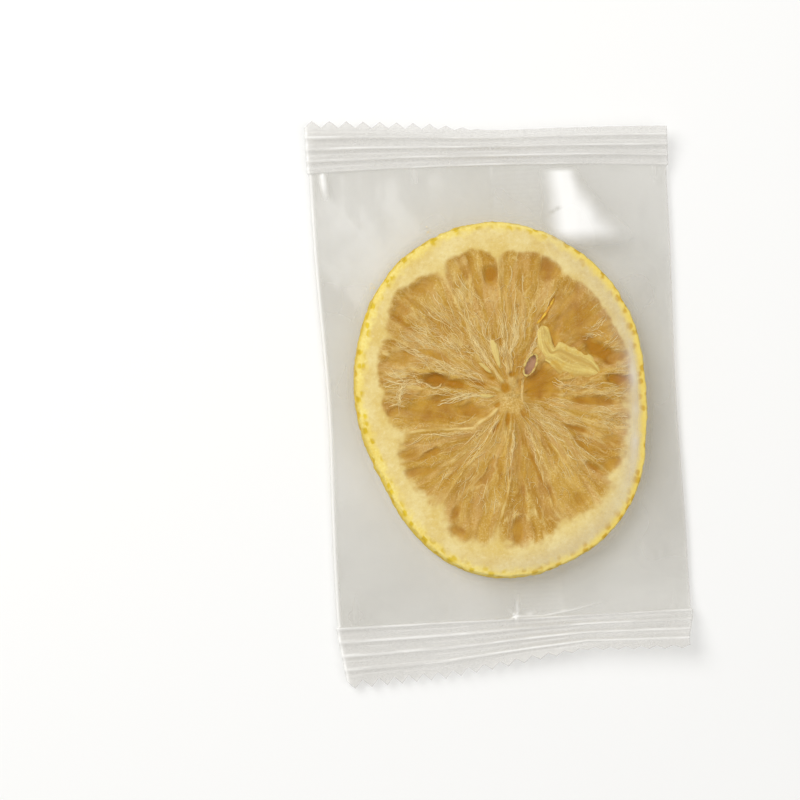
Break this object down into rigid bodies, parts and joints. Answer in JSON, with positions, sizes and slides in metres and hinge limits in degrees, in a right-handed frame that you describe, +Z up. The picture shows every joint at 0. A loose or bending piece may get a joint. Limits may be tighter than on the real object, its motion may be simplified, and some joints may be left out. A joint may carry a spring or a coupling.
{
  "type": "freeze-dried lemon slice sealed in a clear sachet",
  "caption": "Freeze-dried lemon slice lying flat in its own clear flow-wrap sachet, with crimped, zigzag-cut end seals that curl up and a folded fin seal along the back.",
  "frame": {"origin": "on the surface the sachet lies on, under the middle of its bounding box", "axes": "+Z up from the sachet's back to the shown side, +Y along the sachet to its top seal, +X to its right side"},
  "size_m": [0.0648, 0.1038, 0.0058],
  "materials": {
    "clear_film": "thin, slightly frosted clear packing film",
    "lemon_rind": "dry, dimpled lemon peel with pale, spongy pith; matte",
    "lemon_pulp": "dry, fibrous lemon pulp, amber where a cell has emptied; satin",
    "lemon_seed": "dry, papery seed husk; satin"
  },
  "bodies": {
    "root": {"lemon_slice_sachet": "clear_film"}
  },
  "joints": []
}
